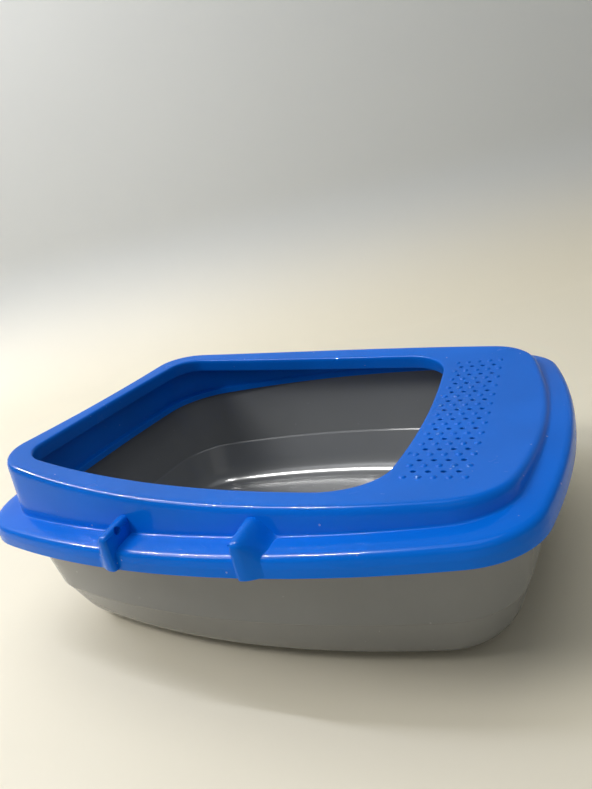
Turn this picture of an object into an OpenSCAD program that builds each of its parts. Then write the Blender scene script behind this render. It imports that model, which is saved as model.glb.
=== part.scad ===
// Cat litter pan with a lift-off rim hood: a deep pan with a rolled rim, a rim hood whose
// top slopes down to a perforated step-over shelf at the entry end, four latch lugs on the
// hood's long sides, and four low feet.
// Frame: origin at the middle of the base, +X to the entry end, +Z up, resting on z = 0.

/* [Overall] */
// length over the rim skirt, back end to entry end
body_l = 480; // [400:5:580]
// width over the rim skirt at its widest
body_w = 390; // [330:5:470]
// height of the rim flange above the ground, where the hood wall rises from it
rim_h = 124; // [104:1:160]
// wall thickness of the hood moulding
hood_t = 2.4; // [2:0.1:3.2]
// wall thickness of the pan
pan_t = 2.3; // [2:0.1:3.2]

/* [Rim skirt] */
// height of the skirt, from its lower edge to the flange
skirt_h = 16.7; // [13:0.1:22]
// flange width along both long sides
flange_side = 20.8; // [17:0.1:26]
// flange width at the entry end
flange_entry = 17.3; // [15:0.1:24]
// flange width at the back end
flange_back = 29; // [24:0.5:38]

/* [Hood] */
// rise of the hood top above the flange at the middle of the back end
back_rise = 46; // [36:1:60]
// rise of the shelf above the flange at the middle of the entry end
entry_rise = 4.2; // [3.6:0.1:8]
// extra rise of the hood top at the long sides, at the back end
crown_back = 5.2; // [2:0.1:8]
// extra rise of the hood top at the long sides, at the entry end
crown_entry = 10.2; // [6:0.1:13]
// inward lean of the hood wall from flange to top
draft = 2.6; // [1.5:0.1:5]

/* [Opening] */
// width of the perforated shelf between hood edge and opening
shelf_w = 94; // [80:1:120]
// width of the top border along both long sides
border_side = 29; // [24:0.5:36]
// width of the top border at the back end
border_back = 18; // [16:0.5:26]
// depth of the lip turned down around the opening
lip_h = 14; // [8:0.5:20]

/* [Shelf holes and nubs] */
// diameter of one perforation
perf_d = 3.6; // [2.4:0.1:4.4]
// diameter of one raised nub
nub_d = 4.8; // [3:0.1:5.6]
// height of a nub above the shelf
nub_h = 0.9; // [0.4:0.1:1.5]
// spacing of holes and nubs along the length
perf_x = 10; // [8:0.5:12]
// spacing of the nub rows across the width; a row of holes lies midway between two of them
perf_y = 19.4; // [16:0.2:22]
// number of nub rows
nub_rows = 13; // [7:2:13]
// distance from the opening to the first nub
perf_inset = 9; // [7:0.5:14]

/* [Latch lugs] */
// clear distance between the two facing lugs of a pair
lug_gap = 97; // [80:1:140]
// length of one lug along the rim, flat face to blended end
lug_l = 23; // [16:0.5:32]
// height of a lug above the flange
lug_rise = 14; // [11:0.5:20]
// reach of a lug beyond the skirt
lug_reach = 4.6; // [3:0.1:7]
// diameter of the blind pivot hole in a lug
pivot_d = 6; // [4:0.1:7]
// depth of the blind pivot hole
pivot_depth = 8; // [5:0.5:11]

/* [Pan] */
// how far the pan's base stands in from the skirt at either end
base_in_end = 41; // [34:1:52]
// how far the pan's base stands in from the skirt at either side
base_in_side = 48; // [40:1:56]
// radius between the pan's base and its wall
base_r = 22; // [14:1:28]
// height of the shallow step line around the wall
step_h = 47; // [34:1:60]
// width of that step
step_w = 1.4; // [0.8:0.1:2.2]
// share of the wall's outward lean that lies below the step line
step_lean = 0.62; // [0.45:0.01:0.72]
// gap between the pan's rim and the underside of the hood flange
seat_gap = 0.4; // [0.3:0.1:1]
// side play of the hood's locating rib inside the pan
rib_play = 1.6; // [0.8:0.1:2.5]

/* [Feet] */
// height of one foot pad
foot_h = 3; // [2:0.1:5]
// diameter of one foot pad
foot_d = 16; // [12:0.5:22]
// distance of the feet from the middle, along the length
foot_x = 138; // [110:1:160]
// distance of the feet from the middle, across the width
foot_y = 106; // [80:1:116]

/* [Hidden] */
k = body_l / 480;                 // scale of the plan radii
mid_x = 6 * k;                    // the long sides are widest a little towards the entry end
n_end = 8;                        // facets of an end arc
n_cor = 8;                        // facets of a corner
n_side = 12;                      // facets of a long side
skirt_z = rim_h - skirt_h;        // lower edge of the skirt
under_z = rim_h - 3.1;            // underside of the flange
pan_top = under_z - seat_gap;     // top of the pan's rim
wall_z = rim_h + 1.4;             // top of the small fillet at the foot of the hood wall
hood_r = body_l / 2 - flange_entry;   // hood wall at the entry end
hood_l = body_l / 2 - flange_back;    // hood wall at the back end
hood_b = body_w / 2 - flange_side;    // hood wall at a long side
lug_x = lug_gap / 2;
pivot_z = rim_h + lug_rise - pivot_d / 2 - 2.1;

// ---- plan outlines: [entry end, back end, half width, three arc radii, two corner radii]
function skirt_o(i) = [body_l / 2 - i, body_l / 2 - i, body_w / 2 - i,
    756 * k - i, 610 * k - i, 2314 * k - i, 59 * k - i, 72 * k - i];
function hood_o(i) = [hood_r - i, hood_l - i, hood_b - i,
    763 * k - i, 564 * k - i, 4000 * k - i, 54 * k - i, 51 * k - i];
function open_o(i) = [hood_r - shelf_w - i, hood_l - border_back - i, hood_b - border_side - i,
    974 * k - i, 1597 * k - i, 991 * k - i, 45 * k - i, 30 * k - i];
function pan_low(i) = [body_l / 2 - base_in_end - i, body_l / 2 - base_in_end - i,
    body_w / 2 - base_in_side - i, 693 * k - i, 616 * k - i, 700 * k - i, 54 * k - i, 54 * k - i];
function pan_high(i) = [body_l / 2 - 15.5 - i, body_l / 2 - 17 - i, body_w / 2 - 18.2 - i,
    735 * k - i, 610 * k - i, 1400 * k - i, 58 * k - i, 70 * k - i];
function rib_o(i) = [hood_r - hood_t - 2 - i, hood_l - hood_t - 2.5 - i,
    body_w / 2 - 18.2 - pan_t - rib_play - i, 640 * k - i, 560 * k - i, 1500 * k - i,
    58 * k - i, 62 * k - i];
function mixo(a, b, t) = [for (j = [0:7]) a[j] + (b[j] - a[j]) * t];

// centre of a corner arc, tangent inside the side arc and the end arc
function corner_c(a, b, r1, r2, r, m) = let (
    p = [m, b - r1], q = [a - r2, 0], d = norm(q - p), e = (q - p) / d,
    f = (pow(r1 - r, 2) - pow(r2 - r, 2) + d * d) / (2 * d),
    h = sqrt(max(0, pow(r1 - r, 2) - f * f)))
    p + e * f + [e[1], -e[0]] * h;
function run(c, r, a0, a1, n) =
    [for (i = [0:n - 1]) let (a = a0 + (a1 - a0) * i / n) c + r * [cos(a), sin(a)]];
function ang(v) = atan2(v[1], v[0]);
// one closed outline, counter-clockwise from the entry end
function plan(o) = let (
    cr = corner_c(o[0], o[2], o[3], o[4], o[6], mid_x),
    cm = corner_c(o[1], o[2], o[3], o[5], o[7], -mid_x),
    cl = [-cm[0], cm[1]],
    s = [mid_x, o[2] - o[3]], er = [o[0] - o[4], 0], el = [o[5] - o[1], 0],
    ar = ang(cr - er), br = ang(cr - s), bl = ang(cl - s), al = ang(cl - el),
    fx = [1, -1])
    concat(run(er, o[4], -ar, ar, n_end), run(cr, o[6], ar, br, n_cor),
        run(s, o[3], br, bl, n_side), run(cl, o[7], bl, al, n_cor),
        run(el, o[5], al, 360 - al, n_end),
        run([cl[0], -cl[1]], o[7], 360 - al, 360 - bl, n_cor),
        run([s[0], -s[1]], o[3], 360 - bl, 360 - br, n_side),
        run([cr[0], -cr[1]], o[6], 360 - br, 360 - ar, n_cor));
np = 2 * n_end + 4 * n_cor + 2 * n_side;
// y of a long side at x, for an outline
function side_y(o, x) = o[2] - o[3] + sqrt(o[3] * o[3] - pow(x - mid_x, 2));

// ---- height of the hood's top surface
function lift(x) = let (t = max(0, (hood_r - x) / (hood_r + hood_l)))
    rim_h + entry_rise + (back_rise - entry_rise) * pow(t, 2.1);
function crown(x) = crown_back + (crown_entry - crown_back) * (x / body_l + 0.5);
function top_z(p) = lift(p[0]) + crown(p[0]) * pow(p[1] / (0.385 * body_w), 2);
function top_d(p, d, s) = min(d, s * (top_z(p) - wall_z));   // edge rounding that fits the wall

// ---- rings and lofts
function flat_ring(pts, z) = [for (p = pts) [p[0], p[1], z]];
function top_ring(pts, dz) = [for (p = pts) [p[0], p[1], top_z(p) - dz]];
function edge_ring(pts, d, f) = [for (p = pts) [p[0], p[1], top_z(p) - f * top_d(p, d, 0.85)]];
function under_ring(pts, d, f) = [for (p = pts)
    [p[0], p[1], top_z(p) - hood_t - f * min(d, 0.55 * (top_z(p) - hood_t - rim_h + 1.6))]];
function mixp(a, b, t) = [for (j = [0:np - 1]) a[j] + (b[j] - a[j]) * t];

module loft(rings, closed) {
    m = len(rings);
    pts = [for (r = rings) for (p = r) p];
    last = closed ? m - 1 : m - 2;
    sides = [for (i = [0:last]) for (j = [0:np - 1]) let (
        a = i * np + j, b = i * np + (j + 1) % np,
        c = ((i + 1) % m) * np + (j + 1) % np, d = ((i + 1) % m) * np + j)
        for (t = [[a, c, b], [a, d, c]]) t];
    caps = closed ? [] : [[for (j = [0:np - 1]) j], [for (j = [np - 1:-1:0]) (m - 1) * np + j]];
    polyhedron(points = pts, faces = concat(sides, caps), convexity = 12);
}

// ---- pan
// the wall leans more below the step line than above it
function pan_at(z, i) = let (z0 = foot_h + 3, low = (z - z0) / (step_h - z0),
    high = (z - step_h) / (pan_top - step_h))
    mixo(pan_low(i), pan_high(i), low < 1 ? step_lean * low : step_lean + (1 - step_lean) * high);
function pan_ring(z, i) = flat_ring(plan(pan_at(z, i)), z);

module pan() {
    b = foot_h;
    color([0.40, 0.39, 0.37]) loft([
        flat_ring(plan(pan_at(b + base_r, base_r * 1.12)), b),
        flat_ring(plan(pan_at(b + base_r, base_r * 0.70)), b + base_r * 0.06),
        flat_ring(plan(pan_at(b + base_r, base_r * 0.36)), b + base_r * 0.26),
        flat_ring(plan(pan_at(b + base_r, base_r * 0.12)), b + base_r * 0.58),
        pan_ring(b + base_r, 0),
        pan_ring(step_h, step_w),
        pan_ring(step_h + 1.5, 0),
        pan_ring(pan_top - 4.4, 0),
        pan_ring(pan_top - 3, -1.5),
        flat_ring(plan(skirt_o(12.6)), pan_top - 3),
        flat_ring(plan(skirt_o(12)), pan_top - 4),
        flat_ring(plan(skirt_o(11.8)), pan_top - 9.5),
        flat_ring(plan(skirt_o(9.8)), pan_top - 9.5),
        flat_ring(plan(skirt_o(9.9)), pan_top - 2.2),
        flat_ring(plan(skirt_o(10.6)), pan_top - 0.6),
        flat_ring(plan(skirt_o(12)), pan_top),
        pan_ring(pan_top, pan_t - 1.6),
        pan_ring(pan_top - 0.5, pan_t - 0.5),
        pan_ring(pan_top - 2.2, pan_t),
        pan_ring(step_h + 2.4, pan_t),
        pan_ring(step_h + 0.9, pan_t + step_w),
        pan_ring(b + base_r, pan_t),
        flat_ring(plan(pan_at(b + base_r, pan_t + base_r * 0.11)), b + pan_t + base_r * 0.55),
        flat_ring(plan(pan_at(b + base_r, pan_t + base_r * 0.34)), b + pan_t + base_r * 0.23),
        flat_ring(plan(pan_at(b + base_r, pan_t + base_r * 0.66)), b + pan_t + base_r * 0.05),
        flat_ring(plan(pan_at(b + base_r, pan_t + base_r)), b + pan_t)
    ], false);
}

// ---- hood
module hood_shell() {
    outer = plan(hood_o(draft + 8.5));
    inner = plan(open_o(-5));
    uouter = plan(hood_o(draft + 8.5));
    uinner = plan(open_o(-6.5));
    loft([
        flat_ring(plan(skirt_o(0.7)), skirt_z),
        flat_ring(plan(skirt_o(0)), skirt_z + 0.8),
        flat_ring(plan(skirt_o(0)), rim_h - 9.7),
        flat_ring(plan(skirt_o(1.2)), rim_h - 6.6),
        flat_ring(plan(skirt_o(3.4)), rim_h - 3.6),
        flat_ring(plan(skirt_o(7)), rim_h - 1.5),
        flat_ring(plan(skirt_o(11.5)), rim_h - 0.8),
        flat_ring(plan(hood_o(-2)), rim_h),
        flat_ring(plan(hood_o(0)), wall_z),
        edge_ring(plan(hood_o(draft)), 6, 1),
        edge_ring(plan(hood_o(draft + 0.9)), 6, 0.52),
        edge_ring(plan(hood_o(draft + 2.8)), 6, 0.18),
        edge_ring(plan(hood_o(draft + 5.4)), 6, 0.03),
        top_ring(outer, 0),
        top_ring(mixp(outer, inner, 0.34), 0),
        top_ring(mixp(outer, inner, 0.67), 0),
        top_ring(inner, 0),
        top_ring(plan(open_o(-2.2)), 0.5),
        top_ring(plan(open_o(-0.6)), 1.9),
        top_ring(plan(open_o(0)), 4.2),
        top_ring(plan(open_o(-2.4)), lip_h),
        top_ring(plan(open_o(-2.4 - hood_t * 0.9)), lip_h),
        top_ring(plan(open_o(-hood_t)), 5.4),
        top_ring(plan(open_o(-hood_t - 0.9)), 3.7),
        top_ring(uinner, hood_t),
        top_ring(mixp(uouter, uinner, 0.67), hood_t),
        top_ring(mixp(uouter, uinner, 0.34), hood_t),
        under_ring(uouter, 6, 0),
        under_ring(plan(hood_o(draft + 5)), 6, 0.18),
        under_ring(plan(hood_o(draft + hood_t + 0.2)), 6, 0.9),
        flat_ring(plan(hood_o(hood_t + 0.2)), rim_h - 1.4),
        flat_ring(plan(rib_o(2)), rim_h - 3.4),
        flat_ring(plan(rib_o(2)), rim_h - 9.5),
        flat_ring(plan(rib_o(0)), rim_h - 9.5),
        flat_ring(plan(rib_o(0)), under_z),
        flat_ring(plan(skirt_o(9.2)), under_z),
        flat_ring(plan(skirt_o(6)), rim_h - 4.6),
        flat_ring(plan(skirt_o(3.8)), rim_h - 7.6),
        flat_ring(plan(skirt_o(hood_t)), rim_h - 10.6),
        flat_ring(plan(skirt_o(hood_t)), skirt_z + 0.8),
        flat_ring(plan(skirt_o(hood_t - 0.5)), skirt_z)
    ], true);
}

// one latch lug on the front side; its flat face is at x, and it blends away from the pair's gap
module lug_solid(x, s) {
    h = lug_rise;
    o = lug_reach;
    low = 1.2 - skirt_h;
    // sections as [distance from a base line, height over the flange]: the first three points of
    // each are measured from the hood wall, the rest from the skirt's outer face
    full = [[0, -1.9], [-1.9, h + 0.8], [3, h + 0.4], [-4, h - 2.2], [o - 2.4, h - 3.6],
        [o - 0.4, h - 7], [o, 1 - 0.2 * h], [o, -10.9], [o - 0.3, -13], [o - 0.6, low]];
    flush = [[0, -1.9], [0, 1.6], [3.3, 0], [-11.5, -0.8], [-7, -1.5],
        [-3.4, -3.6], [-1.2, -6.6], [0, -9.7], [0, -12], [0, low]];
    back = [[-hood_t / 2, low], [-hood_t / 2, -9.4], [-4.6, -4.6], [-9, -2.1]];
    n = len(full) + len(back);
    function sec(px, r) = let (X = x + s * px, yw = side_y(hood_o(1.3), X),
        ys = side_y(skirt_o(0), X), all = concat(full * r + flush * (1 - r), back))
        [for (j = [0:n - 1]) [X, -(j < 3 ? yw : ys) - all[j][0], rim_h + all[j][1]]];
    stations = [[0, 1], [0.26, 1], [0.42, 0.9], [0.62, 0.58], [0.8, 0.26], [1, 0.05]];
    m = len(stations);
    pts = [for (c = stations) for (p = sec(c[0] * lug_l, c[1])) p];
    sides = [for (i = [0:m - 2]) for (j = [0:n - 1]) let (
        a = i * n + j, b = i * n + (j + 1) % n, c = b + n, d = a + n)
        for (f = [[a, b, c], [a, c, d]]) s < 0 ? f : [f[0], f[2], f[1]]];
    // the two end faces, as triangles between the outer points and the back points
    end = [[0, 1, 2], [0, 2, 13], [2, 3, 13], [3, 4, 13], [4, 5, 12], [4, 12, 13],
        [5, 6, 12], [6, 7, 11], [6, 11, 12], [7, 8, 11], [8, 9, 10], [8, 10, 11]];
    ends = [for (f = end) for (t = [[f[2], f[1], f[0]], [for (j = f) (m - 1) * n + j]])
        s < 0 ? t : [t[2], t[1], t[0]]];
    polyhedron(points = pts, faces = concat(sides, ends), convexity = 6);
}

module pivot_bore(s) {
    y = side_y(hood_o(0), lug_x) + 10.6;
    translate([s * (lug_x - 1), -y, pivot_z]) rotate([0, s * 90, 0])
        cylinder(d = pivot_d, h = pivot_depth + 1, $fn = 48);
}

// a lug as moulded on the rim: its back face follows the hood's outer surface
module lug(sx, sy) {
    color([0.10, 0.36, 0.83]) difference() {
        mirror([0, sy < 0 ? 0 : 1, 0]) lug_solid(sx * lug_x, sx);
        hood_shell();
        mirror([0, sy < 0 ? 0 : 1, 0]) pivot_bore(sx);
    }
}

module lug_front_entry() { lug(1, -1); }
module lug_back_entry() { lug(1, 1); }
module lug_front_rear() { lug(-1, -1); }
module lug_back_rear() { lug(-1, 1); }

// rows of four holes between rows of five nubs
perf_x0 = hood_r - shelf_w + perf_inset;
function row_y(i) = (i - (nub_rows - 1) / 2) * perf_y;

module perforations() {
    for (i = [0:nub_rows - 2], j = [0:3]) {
        p = [perf_x0 + (j + 0.5) * perf_x, row_y(i + 0.5)];
        translate([p[0], p[1], top_z(p) - hood_t - 2]) cylinder(d = perf_d, h = hood_t + 5, $fn = 8);
    }
}

module nubs() {
    for (i = [0:nub_rows - 1], j = [0:4]) {
        p = [perf_x0 + j * perf_x, row_y(i)];
        translate([p[0], p[1], top_z(p) - hood_t / 2])
            cylinder(d = nub_d, h = hood_t / 2 + nub_h, $fn = 8);
    }
}

module rim_hood() {
    color([0.10, 0.36, 0.83]) difference() {
        union() {
            hood_shell();
            nubs();
        }
        perforations();
    }
}

// ---- feet
module foot(sx, sy) {
    color([0.80, 0.80, 0.76, 0.6]) translate([sx * foot_x * k, sy * foot_y * body_w / 390, 0])
        rotate_extrude($fn = 48) polygon([[0, 0], [foot_d / 2 - 0.8, 0], [foot_d / 2, 0.8],
            [foot_d / 2, foot_h], [0, foot_h]]);
}

module foot_front_entry() { foot(1, -1); }
module foot_back_entry() { foot(1, 1); }
module foot_front_rear() { foot(-1, -1); }
module foot_back_rear() { foot(-1, 1); }

pan();
rim_hood();
lug_front_entry();
lug_back_entry();
lug_front_rear();
lug_back_rear();
foot_front_entry();
foot_back_entry();
foot_front_rear();
foot_back_rear();
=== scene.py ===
"""Cat litter box with a lift-off rim hood: the looks of the part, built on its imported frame."""

import math

import bmesh
import bpy
import numpy as np
from mathutils import Matrix, Vector
from mathutils.geometry import delaunay_2d_cdt


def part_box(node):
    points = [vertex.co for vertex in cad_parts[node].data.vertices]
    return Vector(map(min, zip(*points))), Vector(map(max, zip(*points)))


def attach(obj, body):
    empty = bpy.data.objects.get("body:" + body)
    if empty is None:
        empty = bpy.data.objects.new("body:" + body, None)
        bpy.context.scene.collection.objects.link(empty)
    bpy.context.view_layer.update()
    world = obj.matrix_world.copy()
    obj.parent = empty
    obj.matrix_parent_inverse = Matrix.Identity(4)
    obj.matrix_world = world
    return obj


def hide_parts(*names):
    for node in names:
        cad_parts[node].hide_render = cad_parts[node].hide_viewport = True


bl_info = {
    "name": "Cat Litter Box with Rim Hood",
    "version": (1, 0, 0),
    "blender": (4, 5, 0),
    "location": "3D View > Sidebar > Litter Box",
    "description": "Builds a litter pan, its lift-off rim hood, its foot pads and a plain studio",
    "category": "Add Mesh",
}

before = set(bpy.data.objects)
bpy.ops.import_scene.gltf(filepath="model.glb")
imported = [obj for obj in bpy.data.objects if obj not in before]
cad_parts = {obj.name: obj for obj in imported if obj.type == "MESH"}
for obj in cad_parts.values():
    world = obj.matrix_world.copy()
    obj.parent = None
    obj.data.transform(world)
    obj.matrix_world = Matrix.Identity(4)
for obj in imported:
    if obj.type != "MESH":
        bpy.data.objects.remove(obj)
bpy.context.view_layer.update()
HOOD_LOW, HOOD_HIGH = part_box("rim_hood")
PAN_LOW, PAN_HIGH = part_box("pan")
FEET = [name for name in sorted(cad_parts) if name.startswith("foot_")]

# ---------------------------------------------------------------- fixed sizes, in metres
BODY_L = HOOD_HIGH.x - HOOD_LOW.x
BODY_W = 0.390              # over the skirt, without the lugs
SKIRT_H = 0.0167
SKIRT_Z = HOOD_LOW.z
RIM_H = SKIRT_Z + SKIRT_H   # the flange, where the hood wall rises
HOOD_T = 0.0024
PAN_T = 0.0023
WALL_Z = RIM_H + 0.0014
UNDER_Z = RIM_H - 0.0031
PAN_TOP = PAN_HIGH.z
PAN_BASE = PAN_LOW.z
BASE_R = 0.022
STEP_Z = 0.047
STEP_W = 0.0014
STEP_LEAN = 0.62
BACK_RISE = 0.046
ENTRY_RISE = 0.0042
CROWN_BACK = 0.0041
CROWN_ENTRY = 0.0102
DRAFT = 0.0026
LIP_H = 0.014
MID_X = 0.006
HOOD_ENTRY = BODY_L / 2 - 0.0173
HOOD_BACK = BODY_L / 2 - 0.029
HOOD_HALF = BODY_W / 2 - 0.0208
SHELF_W = 0.094
PERF_X = 0.010
PERF_Y = 0.0194
PERF_X0 = HOOD_ENTRY - SHELF_W + 0.009
NUB_ROWS = 13
LUG_X = 0.0485              # a lug's flat face, from the middle
LUG_L = 0.023
LUG_RISE = 0.013
LUG_REACH = 0.0046          # how far a lug stands out from the skirt
LUG_BEVEL = 0.0026          # rounding of the flat face's edge, and how far it runs back
BEVEL_RUN = 0.0029
FLANK_START = 0.0046        # where the flank starts to melt into the rim
PIVOT_Z = RIM_H + LUG_RISE - 0.0041
PIVOT_OUT = 0.0106          # from the hood wall to the pivot's axis
PIVOT_R = 0.003
DRILL_L = 0.0076            # half of it goes into the lug

# plan outlines: entry end, back end, half width, three arc radii, two corner radii
SKIRT = np.array([BODY_L / 2, BODY_L / 2, BODY_W / 2, 0.756, 0.610, 2.314, 0.059, 0.072])
HOOD = np.array([HOOD_ENTRY, HOOD_BACK, HOOD_HALF, 0.763, 0.564, 4.0, 0.054, 0.051])
OPENING = np.array([HOOD_ENTRY - SHELF_W, HOOD_BACK - 0.018, HOOD_HALF - 0.029,
                    0.974, 1.597, 0.991, 0.045, 0.030])
PAN_LOWER = np.array([BODY_L / 2 - 0.041, BODY_L / 2 - 0.041, BODY_W / 2 - 0.048,
                      0.693, 0.616, 0.700, 0.054, 0.054])
PAN_UPPER = np.array([BODY_L / 2 - 0.0155, BODY_L / 2 - 0.017, BODY_W / 2 - 0.0182,
                      0.735, 0.610, 1.400, 0.058, 0.070])
RIB = np.array([HOOD_ENTRY - HOOD_T - 0.002, HOOD_BACK - HOOD_T - 0.0025,
                BODY_W / 2 - 0.0182 - PAN_T - 0.0016, 0.640, 0.560, 1.500, 0.058, 0.062])

N_END, N_CORNER, N_SIDE = 20, 18, 40


# ---------------------------------------------------------------- outlines and surfaces
def corner_centre(end, half, r_side, r_end, r_corner, mid):
    """Centre of a corner arc that is tangent inside the side arc and the end arc."""
    side = np.array([mid, half - r_side])
    tip = np.array([end - r_end, 0.0])
    gap = np.linalg.norm(tip - side)
    along = (tip - side) / gap
    foot = ((r_side - r_corner) ** 2 - (r_end - r_corner) ** 2 + gap * gap) / (2 * gap)
    rise = math.sqrt(max(0.0, (r_side - r_corner) ** 2 - foot * foot))
    return side + along * foot + np.array([along[1], -along[0]]) * rise


def run(centre, radius, start, stop, count):
    """Points along an arc, without its last one."""
    turn = start + (stop - start) * np.arange(count) / count
    return centre + radius * np.stack([np.cos(turn), np.sin(turn)], axis=1)


def heading(vector):
    """Direction of a vector, as an angle from +X."""
    return math.atan2(vector[1], vector[0])


def plan(outline):
    """One closed outline, counter-clockwise from the entry end, as an array of x, y."""
    entry, back, half, r_side, r_entry, r_back, c_entry, c_back = outline
    front = corner_centre(entry, half, r_side, r_entry, c_entry, MID_X)
    rear = corner_centre(back, half, r_side, r_back, c_back, -MID_X) * [-1, 1]
    side = np.array([MID_X, half - r_side])
    tip_e = np.array([entry - r_entry, 0.0])
    tip_b = np.array([r_back - back, 0.0])
    a_e, b_e = heading(front - tip_e), heading(front - side)
    b_b, a_b = heading(rear - side), heading(rear - tip_b)
    full = 2 * math.pi
    return np.concatenate([
        run(tip_e, r_entry, -a_e, a_e, N_END),
        run(front, c_entry, a_e, b_e, N_CORNER),
        run(side, r_side, b_e, b_b, N_SIDE),
        run(rear, c_back, b_b, a_b, N_CORNER),
        run(tip_b, r_back, a_b, full - a_b, N_END),
        run(rear * [1, -1], c_back, full - a_b, full - b_b, N_CORNER),
        run(side * [1, -1], r_side, full - b_b, full - b_e, N_SIDE),
        run(front * [1, -1], c_entry, full - b_e, full - a_e, N_CORNER),
    ])


def side_y(outline, x):
    """Half width of an outline at x, on its long side."""
    half, r_side = outline[2], outline[3]
    return half - r_side + math.sqrt(r_side ** 2 - (x - MID_X) ** 2)


def top_z(points):
    """Height of the hood's top surface over points of x, y."""
    x, y = points[..., 0], points[..., 1]
    t = np.maximum(0.0, (HOOD_ENTRY - x) / (HOOD_ENTRY + HOOD_BACK))
    lift = RIM_H + ENTRY_RISE + (BACK_RISE - ENTRY_RISE) * t ** 2.1
    crown = CROWN_BACK + (CROWN_ENTRY - CROWN_BACK) * (x / BODY_L + 0.5)
    return lift + crown * (y / (0.385 * BODY_W)) ** 2


def level(outline, z):
    """A ring of points at one height."""
    points = plan(outline)
    return np.column_stack([points, np.full(len(points), z)])


def on_top(outline, drop=0.0):
    """A ring of points that follows the hood's top surface."""
    points = plan(outline)
    return np.column_stack([points, top_z(points) - drop])


def rounded(rings, cuts, steps=5):
    """Rings with each inner one rounded off: cuts says how far from it the rounding starts."""
    out = [rings[0]]
    for before, here, after, cut in zip(rings, rings[1:-1], rings[2:], cuts[1:-1]):
        if cut == 0:
            out.append(here)
            continue
        ends = []
        for other in (before, after):
            reach = np.linalg.norm(other - here, axis=1, keepdims=True)
            ends.append(here + (other - here) * np.minimum(0.48, cut / np.maximum(reach, 1e-9)))
        for t in np.linspace(0, 1, steps + 1):
            out.append((1 - t) ** 2 * ends[0] + 2 * t * (1 - t) * here + t * t * ends[1])
    out.append(rings[-1])
    return out


# ---------------------------------------------------------------- mesh helpers
class Builder:
    """Collects vertices and faces of one piece, and welds them at the end."""

    def __init__(self):
        self.points, self.faces = [], []

    def add(self, points, faces):
        base = len(self.points)
        self.points.extend(tuple(map(float, p)) for p in points)
        self.faces.extend(tuple(base + i for i in face) for face in faces)

    def loft(self, rings, closed=True, flip=False):
        """Quads between rings of equal count; closed says that each ring closes on itself."""
        count = len(rings[0])
        faces = []
        for i in range(len(rings) - 1):
            for j in range(count if closed else count - 1):
                k = (j + 1) % count
                face = (i * count + j, i * count + k, (i + 1) * count + k, (i + 1) * count + j)
                faces.append(face[::-1] if flip else face)
        self.add(np.concatenate(rings), faces)

    def cap(self, ring, flip=False):
        """A flat or gently dished cap over a ring, as a grid of shrinking rings."""
        centre = ring.mean(axis=0)
        shrink = [ring + (centre - ring) * t for t in (0, 0.12, 0.3, 0.5, 0.7, 0.86, 0.96)]
        self.loft(shrink, flip=flip)
        count = len(ring)
        fan = [(j, (j + 1) % count, count) for j in range(count)]
        self.add(np.vstack([shrink[-1], centre]), [f[::-1] if flip else f for f in fan])

    def piece(self, name, weld=2e-6):
        mesh = bpy.data.meshes.new(name)
        mesh.from_pydata(self.points, [], self.faces)
        work = bmesh.new()
        work.from_mesh(mesh)
        bmesh.ops.remove_doubles(work, verts=work.verts, dist=weld)
        bmesh.ops.recalc_face_normals(work, faces=work.faces)
        for face in work.faces:
            face.smooth = True
        work.to_mesh(mesh)
        work.free()
        piece = bpy.data.objects.new(name, mesh)
        bpy.context.scene.collection.objects.link(piece)
        return piece


def inside(points, loop):
    """Which points of x, y lie inside a closed loop."""
    result = np.zeros(len(points), bool)
    x, y = points[:, 0], points[:, 1]
    for (xa, ya), (xb, yb) in zip(loop, np.roll(loop, -1, axis=0)):
        crosses = (ya > y) != (yb > y)
        if ya != yb:
            result ^= crosses & (x < (xb - xa) * (y - ya) / (yb - ya) + xa)
    return result


def circle(x, y, radius, count):
    """Points evenly round a circle."""
    turn = 2 * math.pi * np.arange(count) / count
    return np.stack([x + radius * np.cos(turn), y + radius * np.sin(turn)], axis=1)


def hole_places():
    """Centres of the litter holes: rows of four, midway between rows of nubs."""
    return [(PERF_X0 + (j + 0.5) * PERF_X, (i + 0.5 - (NUB_ROWS - 1) / 2) * PERF_Y)
            for i in range(NUB_ROWS - 1) for j in range(4)]


def nub_places():
    """Centres of the raised nubs: rows of five."""
    return [(PERF_X0 + j * PERF_X, (i - (NUB_ROWS - 1) / 2) * PERF_Y)
            for i in range(NUB_ROWS) for j in range(5)]


def sheet_with_holes(outer, inner, holes, extra, pitch):
    """Triangles over the band between two outlines, with round holes left out."""
    loops = [outer, inner] + holes
    low, high = outer.min(axis=0), outer.max(axis=0)
    grid = []
    for row, y in enumerate(np.arange(low[1], high[1], pitch * 0.866)):
        for x in np.arange(low[0] + (row % 2) * pitch / 2, high[0], pitch):
            grid.append((x, y))
    grid = np.array(grid)
    keep = inside(grid, outer) & ~inside(grid, inner)
    fixed = np.concatenate(loops + ([extra] if len(extra) else []))
    grid = grid[keep]
    near = np.array([np.min(np.hypot(*(fixed - g).T)) for g in grid])
    grid = grid[near > pitch * 0.42]
    points = np.concatenate([fixed, grid])
    edges, base = [], 0
    for loop in loops:
        edges += [(base + i, base + (i + 1) % len(loop)) for i in range(len(loop))]
        base += len(loop)
    found = delaunay_2d_cdt([Vector(p) for p in points], edges, [], 0, 1e-7)
    flat = np.array([tuple(v) for v in found[0]])
    faces = np.array([f for f in found[2] if len(f) == 3])
    middle = flat[faces].mean(axis=1)
    keep = inside(middle, outer) & ~inside(middle, inner)
    for hole in holes:
        keep &= np.hypot(*(middle - hole.mean(axis=0)).T) > np.hypot(*(hole[0] - hole.mean(axis=0)))
    return flat, faces[keep]


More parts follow.
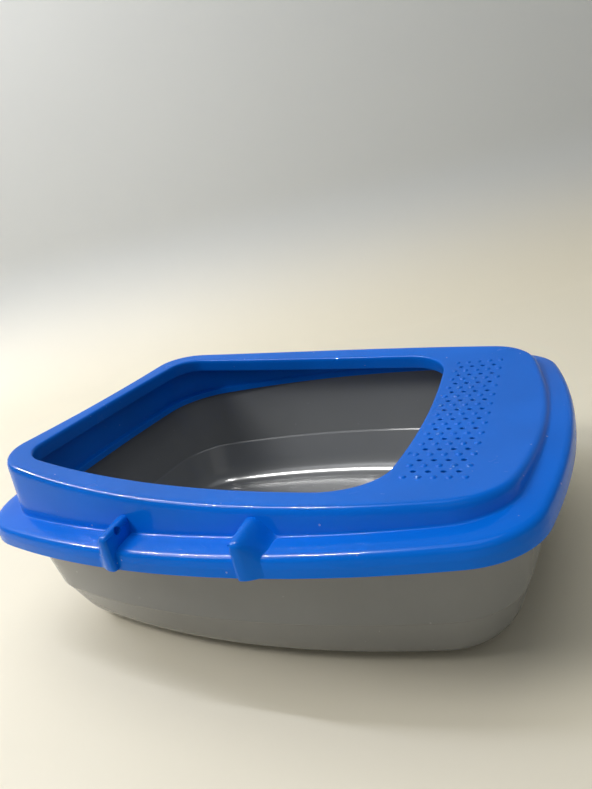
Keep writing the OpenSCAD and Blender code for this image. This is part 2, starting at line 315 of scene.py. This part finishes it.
def subtract(piece, cutter):
    """Cuts one mesh out of another for good, and drops the cutter."""
    cut = piece.modifiers.new("cut", "BOOLEAN")
    cut.operation, cut.solver, cut.object = "DIFFERENCE", "EXACT", cutter
    bpy.context.view_layer.update()
    result = bpy.data.meshes.new_from_object(piece.evaluated_get(
        bpy.context.evaluated_depsgraph_get()))
    piece.modifiers.clear()
    piece.data = result
    bpy.data.objects.remove(cutter)


def finish_piece(piece, body, slot, material, *nodes):
    """Rides a piece on its body, hides the CAD nodes it stands for, and gives it its finish."""
    piece.data.materials.clear()
    piece.data.materials.append(material)
    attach(piece, body)
    if nodes:
        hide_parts(*nodes)


# ---------------------------------------------------------------- shader maths
class Socket:
    """One value in a node tree, with Python's operators adding Math nodes."""

    def __init__(self, shader, link):
        self.shader, self.link = shader, link

    def _maths(self, operation, first, second):
        return self.shader.node("ShaderNodeMath", {"operation": operation}, {0: first, 1: second})

    def __add__(self, other):
        return self._maths("ADD", self, other)

    def __sub__(self, other):
        return self._maths("SUBTRACT", self, other)

    def __rsub__(self, other):
        return self._maths("SUBTRACT", other, self)

    def __mul__(self, other):
        return self._maths("MULTIPLY", self, other)

    def __gt__(self, other):
        return self._maths("GREATER_THAN", self, other)

    def __lt__(self, other):
        return self._maths("LESS_THAN", self, other)

    __radd__, __rmul__ = __add__, __mul__

    def smooth(self, low, high):
        """0 below low, 1 above high, and an even rise between."""
        return self.shader.node(
            "ShaderNodeMapRange", {"interpolation_type": "SMOOTHSTEP"},
            {"Value": self, "From Min": low, "From Max": high})


class Shader:
    """A material with one Principled shader, and methods that add nodes to it."""

    def __init__(self, name, **constants):
        self.material = bpy.data.materials.new(name)
        self.material.use_nodes = True
        self.tree = self.material.node_tree
        self.surface = self.tree.nodes["Principled BSDF"]
        for socket, value in constants.items():
            self.surface.inputs[socket.replace("_", " ")].default_value = value
        self.place = self.node("ShaderNodeTexCoord", output="Object")

    def node(self, kind, settings=None, inputs=None, output=0):
        """Adds a node, sets it, then gives its sockets their values or links."""
        node = self.tree.nodes.new(kind)
        for name, value in (settings or {}).items():
            setattr(node, name, value)
        for name, value in (inputs or {}).items():
            socket = node.inputs[name]
            if isinstance(value, Socket):
                self.tree.links.new(value.link, socket)
            else:
                socket.default_value = value
        return Socket(self, node.outputs[output])

    def turned(self, degrees, x, y, z):
        """Object coordinates turned about Z and then stretched."""
        spun = self.node("ShaderNodeVectorRotate", {"rotation_type": "Z_AXIS"},
                         {"Vector": self.place, "Angle": math.radians(degrees)})
        return self.node("ShaderNodeVectorMath", {"operation": "MULTIPLY"},
                         {0: spun, 1: (x, y, z)})

    def height(self):
        """Height above the floor."""
        return self.node("ShaderNodeSeparateXYZ", None, {0: self.place}, output=2)

    def noise(self, vector, scale, detail=2.0, rough=0.5, distortion=0.0):
        return self.node("ShaderNodeTexNoise", None, {
            "Vector": vector, "Scale": scale, "Detail": detail, "Roughness": rough,
            "Distortion": distortion})

    def specks(self, scale, size, shift):
        """Small round marks, in a few cells only."""
        shifted = self.node("ShaderNodeVectorMath", {"operation": "ADD"},
                            {0: self.place, 1: (shift, shift, 0)})
        near = self.node("ShaderNodeTexVoronoi", None, {"Vector": shifted, "Scale": scale})
        few = self.noise(shifted, scale * 0.61, 0.0) > 0.74
        return (near < size) * few

    def mix(self, factor, first, second):
        """Blends two colours."""
        first, second = (c if isinstance(c, Socket) else (*c, 1.0) for c in (first, second))
        return self.node("ShaderNodeMix", {"data_type": "RGBA"}, {0: factor, 6: first, 7: second},
                         output=2)

    def bump(self, height, strength, distance, under=None):
        inputs = {"Height": height, "Strength": strength, "Distance": distance}
        if under is not None:
            inputs["Normal"] = under
        return self.node("ShaderNodeBump", None, inputs)

    def feed(self, **sockets):
        for name, value in sockets.items():
            self.tree.links.new(value.link, self.surface.inputs[name.replace("_", " ")])

    def scratches(self, degrees, density):
        """Fine straight scuffs in one direction, in patches."""
        line = self.noise(self.turned(degrees, 18, 900, 60), 1.0, 3.0, 0.62, 0.15)
        patch = self.noise(self.place, 14, 2.0)
        return line.smooth(0.66, 0.74) * patch.smooth(0.62 - density, 0.75 - density)


def hood_finish(colour, roughness):
    """Glossy blue polypropylene: faint flow mottling, soft ripple, a few scuffs and dust specks."""
    shader = Shader("blue_polypropylene", IOR=1.45, Specular_IOR_Level=0.05, Coat_Weight=0.20,
                    Coat_Roughness=0.022, Coat_IOR=1.45)
    deep = tuple(0.90 * c for c in colour)
    bright = tuple(min(1.0, 1.06 * c) for c in colour)
    cloud = shader.noise(shader.place, 7, 2.0, 0.5)
    fine = shader.noise(shader.place, 260, 1.0, 0.4)
    scuff = shader.scratches(24, 0.04) + shader.scratches(-37, 0.0) * 0.7
    dust = shader.specks(190, 0.14, 0.31)
    grime = shader.noise(shader.place, 34, 4.0, 0.62).smooth(0.58, 0.80)
    base = shader.mix(cloud.smooth(0.3, 0.7), deep, bright)
    base = shader.mix(scuff * 0.08, base, (0.16, 0.30, 0.75))
    base = shader.mix(grime * 0.07, base, (0.03, 0.09, 0.30))
    base = shader.mix(dust * 0.4, base, (0.55, 0.60, 0.70))
    gloss = cloud * 0.05 + (roughness - 0.025) + scuff * 0.14 + grime * 0.08 + dust * 0.3
    normal = shader.bump(shader.noise(shader.place, 24, 1.0), 0.25, 0.0005)
    normal = shader.bump(fine, 0.04, 0.00010, normal)
    shader.feed(Base_Color=base, Roughness=gloss, Normal=normal)
    return shader.material


def pan_finish(colour, roughness):
    """Grey polypropylene: semi-gloss, with faint scuffs, dull patches low down and a little dust."""
    shader = Shader("grey_polypropylene", IOR=1.47, Specular_IOR_Level=0.4, Coat_Weight=0.07,
                    Coat_Roughness=0.10, Coat_IOR=1.42)
    light = tuple(min(1.0, 1.08 * c) for c in colour)
    dark = tuple(0.92 * c for c in colour)
    cloud = shader.noise(shader.place, 6, 3.0, 0.5)
    fine = shader.noise(shader.place, 300, 1.0, 0.4)
    drag = shader.scratches(3, 0.07) + shader.scratches(78, 0.03) * 0.8 + shader.scratches(-22, 0.0)
    dull = shader.noise(shader.place, 38, 5.0, 0.66).smooth(0.52, 0.74)
    low = 1.0 - shader.height().smooth(0.004, 0.05)
    dust = shader.specks(190, 0.13, 0.57)
    base = shader.mix(cloud.smooth(0.3, 0.72), dark, light)
    base = shader.mix(drag * 0.010, base, (0.30, 0.30, 0.29))
    base = shader.mix(dull * low * 0.03, base, (0.31, 0.30, 0.27))
    base = shader.mix(dust * 0.16, base, (0.50, 0.50, 0.48))
    gloss = cloud * 0.06 + (roughness - 0.03) + drag * 0.012 + dull * 0.02 + dust * 0.15
    normal = shader.bump(shader.noise(shader.place, 18, 1.0), 0.3, 0.0006)
    normal = shader.bump(fine, 0.05, 0.00010, normal)
    shader.feed(Base_Color=base, Roughness=gloss, Normal=normal)
    return shader.material


def foot_finish(colour):
    """Milky soft plastic of the foot pads."""
    shader = Shader("milky_pad", IOR=1.46, Subsurface_Weight=0.35, Subsurface_Scale=0.004,
                    Transmission_Weight=0.25)
    cloud = shader.noise(shader.place, 60, 4.0, 0.6)
    grit = shader.noise(shader.place, 700, 2.0, 0.5)
    base = shader.mix(cloud.smooth(0.35, 0.7), colour, tuple(0.78 * c for c in colour))
    shader.feed(Base_Color=base, Roughness=cloud * 0.2 + 0.32,
                Normal=shader.bump(grit, 0.2, 0.0002))
    return shader.material


def stage_finish(name, colour, roughness):
    """A plain matt surface with a trace of unevenness, a neutral grey where it rises."""
    shader = Shader(name)
    cloud = shader.noise(shader.place, 2.2, 3.0, 0.5)
    grey = sum(colour) / 3
    base = shader.mix(cloud * 0.25, colour, tuple(0.93 * c for c in colour))
    base = shader.mix(shader.height().smooth(0.0, 0.3), base, (0.93 * grey, 0.94 * grey, 0.92 * grey))
    shader.feed(Base_Color=base, Roughness=cloud * 0.1 + roughness)
    return shader.material


# ---------------------------------------------------------------- the pan
def pan_at(z, inset=0.0):
    """The pan wall's outline at a height; it leans more below the step line than above."""
    z0 = PAN_BASE + 0.003
    low = (z - z0) / (STEP_Z - z0)
    high = (z - STEP_Z) / (PAN_TOP - STEP_Z)
    share = STEP_LEAN * low if low < 1 else STEP_LEAN + (1 - STEP_LEAN) * high
    return PAN_LOWER + (PAN_UPPER - PAN_LOWER) * share - inset


def pan_wall(z, inset=0.0):
    return level(pan_at(z, inset), z)


def base_turn(radius, z_flat, inset, steps=10):
    """Rings of the rounded turn from the flat base up into the wall."""
    z_wall = PAN_BASE + BASE_R
    foot = level(pan_at(z_wall, inset + radius * 1.06), z_flat)
    knee = level(pan_at(z_wall - (z_wall - z_flat) * 0.9, inset), z_flat)
    wall = pan_wall(z_wall, inset)
    out = []
    for t in np.linspace(0, 1, steps + 1):
        out.append((1 - t) ** 2 * foot + 2 * t * (1 - t) * knee + t * t * wall)
    return out


def build_pan():
    builder = Builder()
    outer = base_turn(BASE_R, PAN_BASE, 0.0)
    inner = base_turn(BASE_R, PAN_BASE + PAN_T, PAN_T)
    wall = rounded([
        outer[-1], pan_wall(STEP_Z, STEP_W * 0.8), pan_wall(STEP_Z + 0.0016),
        pan_wall(PAN_TOP - 0.0042),
        level(SKIRT - 0.0128, PAN_TOP - 0.003), level(SKIRT - 0.0118, PAN_TOP - 0.0095),
        level(SKIRT - 0.0098, PAN_TOP - 0.0095), level(SKIRT - 0.0098, PAN_TOP),
        pan_wall(PAN_TOP, PAN_T), pan_wall(STEP_Z + 0.0024, PAN_T),
        pan_wall(STEP_Z + 0.0010, PAN_T + STEP_W), inner[-1],
    ], [0, 0.0007, 0.0007, 0.004, 0.002, 0.0008, 0.0008, 0.003, 0.002, 0.0004, 0.0006, 0])
    builder.loft(outer)
    builder.loft(wall)
    builder.loft(inner[::-1])
    builder.cap(outer[0], flip=True)
    builder.cap(inner[0])
    return builder.piece("pan_shell")


# ---------------------------------------------------------------- the hood
def nub_rise(points, radius, height):
    """How far the raised nubs lift the shelf at points of x, y."""
    rise = np.zeros(len(points))
    for x, y in nub_places():
        away = np.hypot(points[:, 0] - x, points[:, 1] - y) / radius
        rise += np.where(away < 1, height * np.sqrt(np.clip(1 - away ** 2, 0, 1)), 0.0)
    return rise


def build_hood(nub_radius, nub_height, hole_radius):
    builder = Builder()
    rim_in, rim_out = OPENING + 0.005, HOOD - (DRAFT + 0.0085)
    under_in = OPENING + 0.0065
    lip = rounded([
        on_top(rim_in), on_top(OPENING), on_top(OPENING + 0.0024, LIP_H),
        on_top(OPENING + 0.0045, LIP_H), on_top(OPENING + HOOD_T, HOOD_T), on_top(under_in, HOOD_T),
    ], [0, 0.0046, 0.0007, 0.0007, 0.0018, 0])
    side = rounded([
        on_top(rim_out, HOOD_T), on_top(HOOD - (DRAFT + HOOD_T), HOOD_T),
        level(HOOD - (HOOD_T + 0.0002), RIM_H - 0.0014), level(RIB - 0.002, RIM_H - 0.0034),
        level(RIB - 0.002, RIM_H - 0.0095), level(RIB, RIM_H - 0.0095), level(RIB, UNDER_Z),
        level(SKIRT - 0.0088, UNDER_Z), level(SKIRT - HOOD_T, RIM_H - 0.0088),
        level(SKIRT - HOOD_T, SKIRT_Z), level(SKIRT, SKIRT_Z), level(SKIRT, RIM_H - 0.0097),
        level(SKIRT - 0.0014, RIM_H - 0.0022), level(SKIRT - 0.0115, RIM_H - 0.0008),
        level(HOOD, RIM_H), on_top(HOOD - DRAFT), on_top(rim_out),
    ], [0, 0.003, 0.0012, 0.001, 0.0006, 0.0006, 0.001, 0.003, 0.002, 0.0006, 0.0007, 0.0012,
        0.0062, 0.002, 0.0018, 0.0064, 0], 7)
    builder.loft(lip)
    builder.loft(side)

    edge = hole_radius + 0.0005
    brims = [circle(x, y, edge, 20) for x, y in hole_places()]
    halo = [circle(x, y, edge + 0.0006, 20) for x, y in hole_places()]
    nub_steps = (0.16, 0.42, 0.66, 0.84, 0.95, 1.0, 1.12)
    for x, y in nub_places():
        halo += [circle(x, y, nub_radius * share, 14) for share in nub_steps]
    flat, faces = sheet_with_holes(
        plan(rim_out), plan(rim_in), brims, np.concatenate(halo), 0.0042)
    rise = nub_rise(flat, nub_radius, nub_height)
    builder.add(np.column_stack([flat, top_z(flat) + rise]), faces)
    bores = [circle(x, y, hole_radius, 20) for x, y in hole_places()]
    flat, faces = sheet_with_holes(plan(rim_out), plan(under_in), bores, np.empty((0, 2)), 0.007)
    builder.add(np.column_stack([flat, top_z(flat) - HOOD_T]), faces[:, ::-1])
    for brim, bore in zip(brims, bores):
        between = (brim + 2.2 * bore) / 3.2
        rings = [np.column_stack([ring, top_z(ring) - drop]) for ring, drop in
                 ((brim, 0), (between, 0.00012), (bore, 0.0005), (bore, HOOD_T))]
        builder.loft(rings)
    return builder.piece("hood_moulding")


def lug_profiles(x):
    """Section through a lug at x: its own outline and the hood's outline beneath it, as y and z."""
    wall, skirt = side_y(HOOD, x), side_y(SKIRT, x)
    top = RIM_H + LUG_RISE
    nose = skirt + LUG_REACH
    own = np.array([
        [wall - 0.0036, top + 0.0004], [wall + 0.0015, top + 0.0004], [skirt - 0.0030, top - 0.0012],
        [nose - 0.0004, top - 0.0024], [nose, top - 0.0105], [nose - 0.0004, SKIRT_Z + 0.004],
        [nose - 0.0007, SKIRT_Z + 0.0012]])
    base = np.array([
        [wall - 0.0014, RIM_H + 0.0030], [wall - 0.0009, RIM_H + 0.0012],
        [wall + 0.003, RIM_H - 0.0010], [skirt - 0.009, RIM_H - 0.0018],
        [skirt - 0.0034, RIM_H - 0.0048], [skirt - 0.0009, RIM_H - 0.0098],
        [skirt - 0.0009, SKIRT_Z + 0.0012]])
    return own, base


def curve_points(corners, cuts, steps=5):
    """A polyline with rounded corners, evenly enough spaced for a smooth section."""
    as_rings = [c[None, :] for c in corners]
    dense = np.concatenate(rounded(as_rings, cuts, steps))
    walk = np.concatenate([[0], np.cumsum(np.linalg.norm(np.diff(dense, axis=0), axis=1))])
    even = np.linspace(0, walk[-1], 64)
    return np.stack([np.interp(even, walk, dense[:, i]) for i in (0, 1)], axis=1)


def build_lug(name, hand, side):
    """A latch lug: flat face with a blind hole, a flank that melts into the rim, a parting line."""
    builder = Builder()
    own_cuts = [0, 0.0012, 0.0055, 0.0058, 0.004, 0.004, 0]
    base_cuts = [0, 0.001, 0.002, 0.003, 0.003, 0.002, 0]
    stations = [0, 0.0001, 0.0004, 0.0008, 0.0014, 0.0021, BEVEL_RUN,
                *np.linspace(0.0040, LUG_L - 0.0014, 16)]
    rings = []
    for back in stations:
        x = hand * (LUG_X + back)
        own, base = (curve_points(*pair) for pair in zip(lug_profiles(x), (own_cuts, base_cuts)))
        fade = min(1.0, max(0.0, (back - FLANK_START) / (LUG_L - 0.0060)))
        share = 1 - fade * fade * (3 - 2 * fade)
        turn = min(1.0, back / BEVEL_RUN)
        bevel = LUG_BEVEL * (1 - math.sqrt(turn * (2 - turn)))
        skin = base + (own - base) * share
        slope = np.gradient(skin, axis=0)
        out = np.stack([slope[:, 1], -slope[:, 0]], axis=1)
        out /= np.maximum(np.linalg.norm(out, axis=1, keepdims=True), 1e-9)
        skin = skin + out * bevel
        section = np.concatenate([skin, base[::-1]])
        rings.append(np.column_stack([np.full(len(section), x), side * section[:, 0], section[:, 1]]))
    builder.loft(rings)
    for ring in (rings[0], rings[-1]):
        half = len(ring) // 2
        builder.loft([ring[:half], ring[half:][::-1]], closed=False)
    lug = builder.piece(name)
    axis_y = side * (side_y(HOOD, LUG_X) + PIVOT_OUT)
    drill = bmesh.new()
    bmesh.ops.create_cone(drill, cap_ends=True, segments=40, radius1=PIVOT_R, radius2=PIVOT_R,
                          depth=DRILL_L, matrix=Matrix.Translation(
                              (hand * LUG_X, axis_y, PIVOT_Z)) @ Matrix.Rotation(math.pi / 2, 4, "Y"))
    mesh = bpy.data.meshes.new("drill")
    drill.to_mesh(mesh)
    drill.free()
    cutter = bpy.data.objects.new("drill", mesh)
    bpy.context.scene.collection.objects.link(cutter)
    subtract(lug, cutter)
    ridge = Builder()
    section = np.array([[0.00042, 0], [0.00020, 0.00032], [-0.00020, 0.00032], [-0.00042, 0]])
    for start, stop in ((side_y(HOOD, LUG_X) - 0.0005, abs(axis_y) - PIVOT_R),
                        (abs(axis_y) + PIVOT_R, side_y(SKIRT, LUG_X) + LUG_REACH - 0.0021)):
        ridge.loft([np.column_stack([hand * (LUG_X - section[:, 1]), np.full(4, side * y),
                                     PIVOT_Z + section[:, 0]]) for y in (start, stop)])
    return lug, ridge.piece(name + "_parting_line")


def mark_creases(piece, degrees):
    """Smooth shading, with edges sharper than the angle kept crisp."""
    piece.data.polygons.foreach_set("use_smooth", [True] * len(piece.data.polygons))
    work = bmesh.new()
    work.from_mesh(piece.data)
    for edge in work.edges:
        if len(edge.link_faces) == 2 and edge.calc_face_angle(0) > math.radians(degrees):
            edge.smooth = False
    work.to_mesh(piece.data)
    work.free()


# ---------------------------------------------------------------- foot pads
def build_foot(node):
    """A low turned pad with a softened rim and a shallow dished sole."""
    low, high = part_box(node)
    centre = (low + high) / 2
    radius, height = (high.x - low.x) / 2, high.z - low.z
    profile = [
        (0.0, 0.0004), (radius * 0.55, 0.0004), (radius * 0.66, 0.0), (radius - 0.0010, 0.0),
        (radius - 0.0003, 0.0003), (radius, 0.0010), (radius, height * 0.72),
        (radius * 0.97, height), (0.0, height)]
    builder = Builder()
    rings = []
    for reach, z in profile:
        ring = circle(centre.x, centre.y, max(reach, 1e-5), 48)
        rings.append(np.column_stack([ring, np.full(48, low.z + z)]))
    builder.loft(rings)
    pad = builder.piece(node + "_pad", weld=2e-5)
    mark_creases(pad, 50)
    return pad


# ---------------------------------------------------------------- the stage
VIEW_YAW = math.radians(27.11)      # turned left from looking along +Y
VIEW_PITCH = math.radians(17.22)    # looking down
VIEW_ROLL = math.radians(-13.45)
VIEW_FROM = Vector((0.2510, -0.4575, 0.3164))


def build_backdrop(colour):
    """One sheet: floor in front, curving up into a wall behind."""
    depth, reach, bend, top = 1.15, 6.0, 0.35, 3.2
    profile = [(-5.0, 0.0), (depth - bend, 0.0)]
    for turn in np.linspace(0, math.pi / 2, 14)[1:]:
        profile.append((depth - bend + bend * math.sin(turn), bend - bend * math.cos(turn)))
    profile.append((depth, top))
    lead = Vector((-math.sin(VIEW_YAW), math.cos(VIEW_YAW), 0))
    across = Vector((math.cos(VIEW_YAW), math.sin(VIEW_YAW), 0))
    rings = [np.array([lead * run_y + across * s + Vector((0, 0, z)) for s in (-reach, reach)])
             for run_y, z in profile]
    builder = Builder()
    builder.loft(rings, closed=False)
    sheet = builder.piece("studio_sweep")
    sheet.data.materials.append(stage_finish("studio_paper", colour, 0.7))


def build_lights():
    """Two ceiling tubes that only gloss picks up, three soft panels and a pale surround."""
    world = bpy.data.worlds.new("studio_air")
    world.use_nodes = True
    world.node_tree.nodes["Background"].inputs["Color"].default_value = (0.86, 0.93, 1.0, 1)
    world.node_tree.nodes["Background"].inputs["Strength"].default_value = 0.20
    bpy.context.scene.world = world
    bpy.context.scene.view_settings.view_transform = "Standard"
    for name, at, tilt, size, power, colour in (
            ("tube_near", (-1.15, -0.22, 2.3), (0, 0), (1.7, 0.05), 330, (1.0, 0.99, 0.97)),
            ("tube_far", (-2.75, -0.22, 2.3), (0, 0), (1.2, 0.05), 260, (1.0, 0.99, 0.97)),
            ("soft_key", (-1.5, -1.2, 2.2), (41, -51), (1.1, 0.9), 38, (0.97, 0.98, 1.0)),
            ("soft_top", (0.0, 0.0, 2.6), (0, 0), (2.0, 1.6), 18, (0.95, 0.98, 1.0)),
            ("soft_fill", (1.2, -1.9, 1.5), (52, 32), (1.6, 1.2), 3, (1.0, 0.97, 0.93))):
        lamp = bpy.data.lights.new(name, "AREA")
        lamp.shape, lamp.size, lamp.size_y = "RECTANGLE", *size
        lamp.energy, lamp.color = power, colour
        light = bpy.data.objects.new(name, lamp)
        light.visible_diffuse = not name.startswith("tube")
        light.location = at
        light.rotation_euler = (math.radians(tilt[0]), 0, math.radians(tilt[1]))
        bpy.context.scene.collection.objects.link(light)


def build_camera(lens):
    """The main view: close, from the front right, looking down with the camera rolled."""
    ahead = Vector((-math.sin(VIEW_YAW) * math.cos(VIEW_PITCH),
                    math.cos(VIEW_YAW) * math.cos(VIEW_PITCH), -math.sin(VIEW_PITCH)))
    right = Vector((math.cos(VIEW_YAW), math.sin(VIEW_YAW), 0))
    up = right.cross(ahead)
    right, up = (right * math.cos(VIEW_ROLL) + up * math.sin(VIEW_ROLL),
                 up * math.cos(VIEW_ROLL) - right * math.sin(VIEW_ROLL))
    camera = bpy.data.objects.new("main_view", bpy.data.cameras.new("main_view"))
    camera.data.sensor_fit = "VERTICAL"
    camera.data.sensor_height = 36
    camera.data.lens = lens
    camera.data.clip_start = 0.01
    turn = Matrix((right, up, -ahead)).transposed().to_4x4()
    camera.matrix_world = Matrix.Translation(VIEW_FROM) @ turn
    bpy.context.scene.collection.objects.link(camera)
    bpy.context.scene.camera = camera


# ---------------------------------------------------------------- properties
class LitterBoxProperties(bpy.types.PropertyGroup):
    """Colours, gloss and small sizes of the litter box and its stage"""

    hood_colour: bpy.props.FloatVectorProperty(
        name="Hood Colour", description="Blue of the rim hood", subtype="COLOR",
        size=3, min=0, max=1, default=(0.001, 0.158, 0.735))
    hood_roughness: bpy.props.FloatProperty(
        name="Hood Roughness", description="How dull the hood's gloss is", subtype="FACTOR",
        min=0, max=1, default=0.24)
    pan_colour: bpy.props.FloatVectorProperty(
        name="Pan Colour", description="Grey of the pan", subtype="COLOR",
        size=3, min=0, max=1, default=(0.215, 0.218, 0.215))
    pan_roughness: bpy.props.FloatProperty(
        name="Pan Roughness", description="How dull the pan's gloss is", subtype="FACTOR",
        min=0, max=1, default=0.19)
    foot_colour: bpy.props.FloatVectorProperty(
        name="Foot Colour", description="Milky tone of the foot pads", subtype="COLOR",
        size=3, min=0, max=1, default=(0.62, 0.61, 0.55))
    nub_radius: bpy.props.FloatProperty(
        name="Nub Radius", description="Radius of a raised nub on the shelf", unit="LENGTH",
        min=0.001, max=0.004, default=0.0025)
    nub_height: bpy.props.FloatProperty(
        name="Nub Height", description="Rise of a nub above the shelf", unit="LENGTH",
        min=0, max=0.002, default=0.0012)
    hole_radius: bpy.props.FloatProperty(
        name="Hole Radius", description="Radius of a litter hole in the shelf", unit="LENGTH",
        min=0.001, max=0.003, default=0.0019)
    floor_colour: bpy.props.FloatVectorProperty(
        name="Floor Colour", description="Pale tone of the floor and backdrop", subtype="COLOR",
        size=3, min=0, max=1, default=(0.80, 0.725, 0.56))
    lens: bpy.props.FloatProperty(
        name="Lens", description="Focal length of the main view", unit="CAMERA",
        min=10, max=100, default=27.62)


def settings():
    return bpy.context.scene.litter_box


# ---------------------------------------------------------------- operators
class LITTERBOX_OT_pan(bpy.types.Operator):
    """Build the litter pan with its rolled rim and step line"""
    bl_idname = "litterbox.pan"
    bl_label = "Pan"

    def execute(self, context):
        material = pan_finish(tuple(settings().pan_colour), settings().pan_roughness)
        pan = build_pan()
        finish_piece(pan, "pan_body", "pan_plastic", material, "pan")
        return {"FINISHED"}


class LITTERBOX_OT_hood(bpy.types.Operator):
    """Build the rim hood with its shelf, lip and latch lugs"""
    bl_idname = "litterbox.hood"
    bl_label = "Rim Hood"

    def execute(self, context):
        sizes = settings()
        material = hood_finish(tuple(sizes.hood_colour), sizes.hood_roughness)
        hood = build_hood(sizes.nub_radius, sizes.nub_height, sizes.hole_radius)
        finish_piece(hood, "hood_body", "hood_plastic", material, "rim_hood")
        for end, hand in (("rear", -1), ("entry", 1)):
            for flank, side in (("front", -1), ("back", 1)):
                lug, line = build_lug(f"latch_lug_{flank}_{end}", hand, side)
                mark_creases(lug, 40)
                finish_piece(lug, "hood_body", "hood_plastic", material, f"lug_{flank}_{end}")
                finish_piece(line, "hood_body", "hood_plastic", material)
        return {"FINISHED"}


class LITTERBOX_OT_feet(bpy.types.Operator):
    """Build the foot pads under the pan"""
    bl_idname = "litterbox.feet"
    bl_label = "Foot Pads"

    def execute(self, context):
        material = foot_finish(tuple(settings().foot_colour))
        for node in FEET:
            finish_piece(build_foot(node), "pan_body", "foot_plastic", material, node)
        return {"FINISHED"}


class LITTERBOX_OT_stage(bpy.types.Operator):
    """Build the plain floor and backdrop, the soft lights and the camera"""
    bl_idname = "litterbox.stage"
    bl_label = "Stage"

    def execute(self, context):
        build_backdrop(tuple(settings().floor_colour))
        build_lights()
        build_camera(settings().lens)
        return {"FINISHED"}


class LITTERBOX_PT_panel(bpy.types.Panel):
    """Sizes, colours and the steps that build the litter box"""
    bl_idname = "LITTERBOX_PT_panel"
    bl_label = "Litter Box"
    bl_space_type = "VIEW_3D"
    bl_region_type = "UI"
    bl_category = "Litter Box"

    def draw(self, context):
        for name in LitterBoxProperties.__annotations__:
            self.layout.prop(context.scene.litter_box, name)
        for operator in OPERATORS:
            self.layout.operator(operator.bl_idname)


OPERATORS = (LITTERBOX_OT_pan, LITTERBOX_OT_hood, LITTERBOX_OT_feet, LITTERBOX_OT_stage)
CLASSES = (LitterBoxProperties, *OPERATORS, LITTERBOX_PT_panel)


def register():
    for cls in CLASSES:
        bpy.utils.register_class(cls)
    bpy.types.Scene.litter_box = bpy.props.PointerProperty(type=LitterBoxProperties)


def unregister():
    del bpy.types.Scene.litter_box
    for cls in reversed(CLASSES):
        bpy.utils.unregister_class(cls)


def main():
    register()
    bpy.ops.litterbox.pan()
    bpy.ops.litterbox.hood()
    bpy.ops.litterbox.feet()
    bpy.ops.litterbox.stage()


if __name__ == "__main__":
    main()
